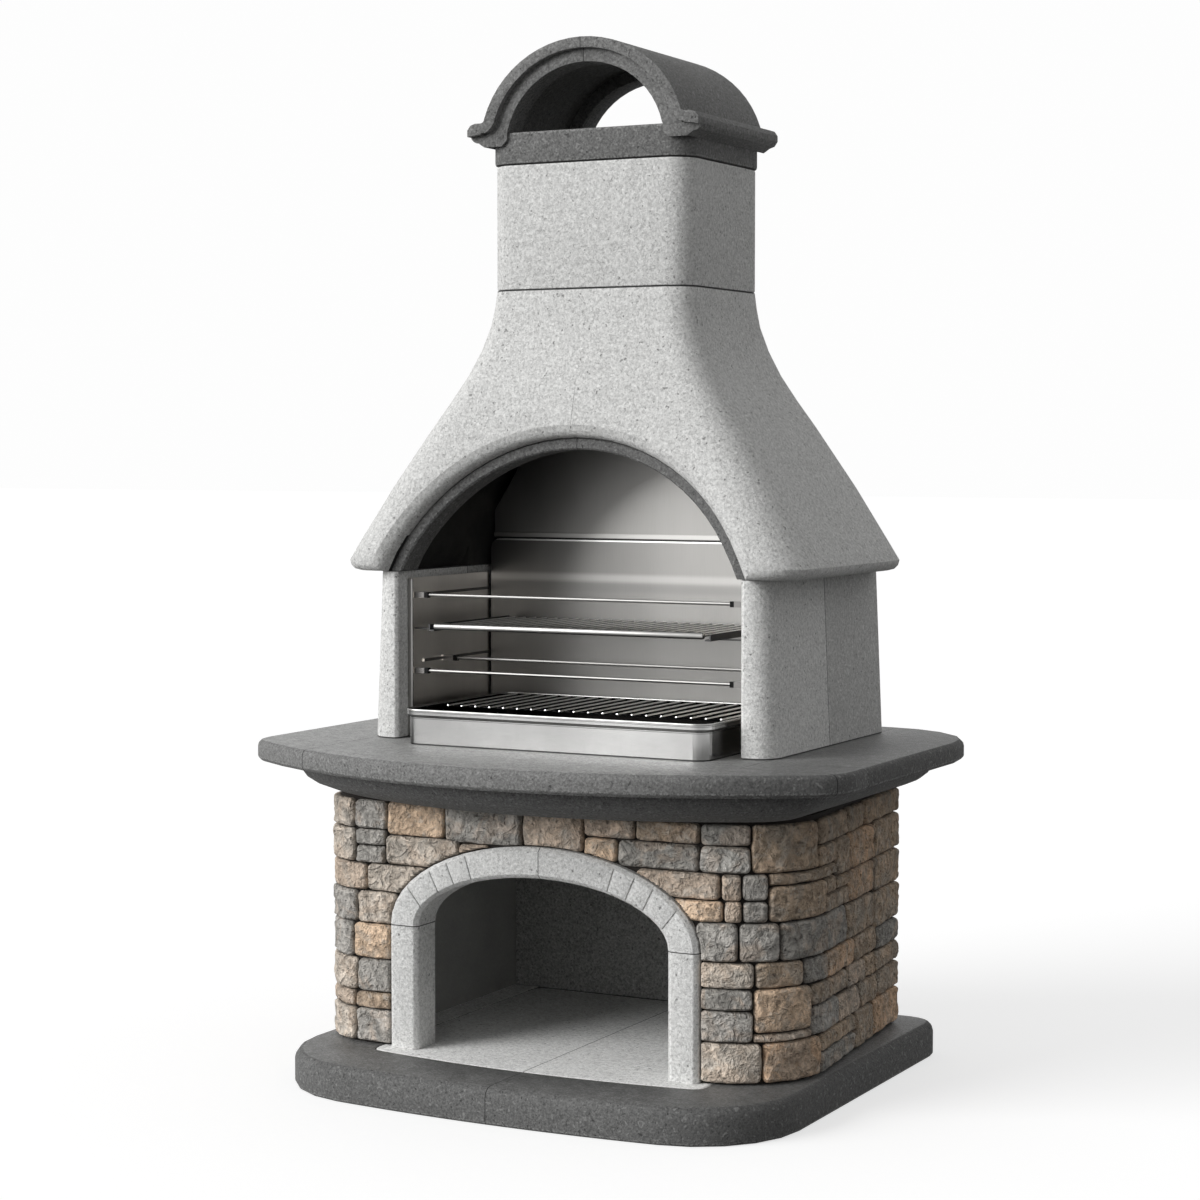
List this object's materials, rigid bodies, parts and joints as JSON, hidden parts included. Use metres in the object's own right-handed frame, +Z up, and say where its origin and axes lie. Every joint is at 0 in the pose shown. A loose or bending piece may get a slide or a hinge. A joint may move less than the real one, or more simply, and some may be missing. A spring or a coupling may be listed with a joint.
{
  "type": "masonry barbecue fireplace",
  "caption": "Free-standing garden barbecue: stone-clad wood store, bowed worktop, steel-lined firebox with sliding tray and grate, flared hood and capped chimney.",
  "frame": {"origin": "on the ground under the middle of the worktop's footprint, which is also the middle of the bounding box", "axes": "+Z up, +X to the right seen from the front, -Y towards the cook at the front"},
  "size_m": [1.37, 1.1, 2.188],
  "materials": {
    "pale_concrete": "light precast concrete, finely pitted",
    "dark_concrete": "anthracite precast concrete, speckled",
    "cladding_stone": "split cladding stones, beige, grey and orange",
    "lining_steel": "brushed sheet steel",
    "bright_steel": "bright drawn rod",
    "black_steel": "black heat-proof paint, satin"
  },
  "bodies": {
    "fireplace": {"base_slab_left": "dark_concrete", "base_slab_right": "dark_concrete", "store_floor_left": "pale_concrete", "store_floor_right": "pale_concrete", "base_wall_left": "cladding_stone", "base_wall_right": "cladding_stone", "base_rear_panel": "dark_concrete", "arch_jamb_left": "pale_concrete", "arch_jamb_right": "pale_concrete", "arch_segment_left": "pale_concrete", "arch_segment_right": "pale_concrete", "worktop_cornice": "dark_concrete", "worktop_centre": "dark_concrete", "worktop_left_wing": "dark_concrete", "worktop_right_wing": "dark_concrete", "pillar_front_left": "pale_concrete", "pillar_front_right": "pale_concrete", "side_wall_rear_left": "pale_concrete", "side_wall_rear_right": "pale_concrete", "firebox_rear_wall": "pale_concrete", "hood": "pale_concrete", "hood_arch_trim_left": "dark_concrete", "hood_arch_trim_right": "dark_concrete", "chimney_section": "pale_concrete", "chimney_collar": "dark_concrete", "cap_shell": "dark_concrete", "cap_ring_front_left": "dark_concrete", "cap_ring_front_right": "dark_concrete", "cap_ring_rear_left": "dark_concrete", "cap_ring_rear_right": "dark_concrete", "liner_left": "lining_steel", "liner_right": "lining_steel", "liner_back_lower": "lining_steel", "liner_back_upper": "lining_steel", "rod_upper": "bright_steel", "rod_lower_front": "bright_steel", "rod_lower_rear": "bright_steel", "grate_runner_left": "black_steel", "grate_runner_right": "black_steel"},
    "tray": {"charcoal_tray": "lining_steel"},
    "fire_grate": {"fire_grate": "bright_steel"},
    "cooking_grate": {"cooking_grate": "bright_steel"}
  },
  "joints": [
    {"name": "tray_slide", "type": "slide", "parent": "fireplace", "child": "tray", "axis": [0, -1, 0], "range_m": [0, 0.25]},
    {"name": "fire_grate_lift", "type": "slide", "parent": "tray", "child": "fire_grate", "axis": [0, 0, 1], "range_m": [0, 0.06]},
    {"name": "cooking_grate_slide", "type": "slide", "parent": "fireplace", "child": "cooking_grate", "axis": [0, -1, 0], "range_m": [0, 0.1]}
  ]
}
